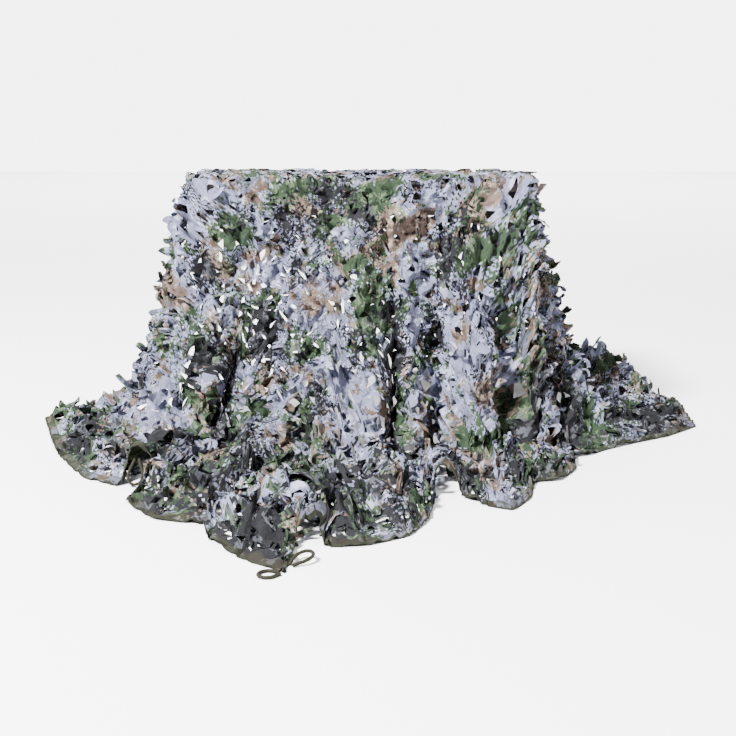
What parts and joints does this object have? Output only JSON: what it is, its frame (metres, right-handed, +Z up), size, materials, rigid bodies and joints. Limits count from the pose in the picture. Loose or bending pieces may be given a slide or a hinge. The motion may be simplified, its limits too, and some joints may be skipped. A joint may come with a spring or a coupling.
{
  "type": "camouflage net draped over a table",
  "caption": "Leaf-cut camouflage net laid cornerwise over a plain table, falling in folds to the floor, with cord tie loops at its hem.",
  "frame": {"origin": "on the floor, under the middle of the net's outline seen from above", "axes": "+Z up, -Y towards the net's long front point, +X to the right seen from the front"},
  "size_m": [2.0962, 2.377, 0.7555],
  "materials": {
    "net_cloth": "matt woven cloth, printed in a camouflage pattern",
    "tie_cord": "matt braided cord",
    "table_board": "plain stained board"
  },
  "bodies": {
    "root": {"net": "net_cloth", "tie_loop_front_long": "tie_cord", "tie_loop_front_short": "tie_cord", "tie_loop_left": "tie_cord", "table_top": "table_board", "table_leg_front_left": "table_board", "table_leg_front_right": "table_board", "table_leg_back_left": "table_board", "table_leg_back_right": "table_board", "table_apron_front": "table_board", "table_apron_back": "table_board", "table_apron_left": "table_board", "table_apron_right": "table_board"}
  },
  "joints": []
}
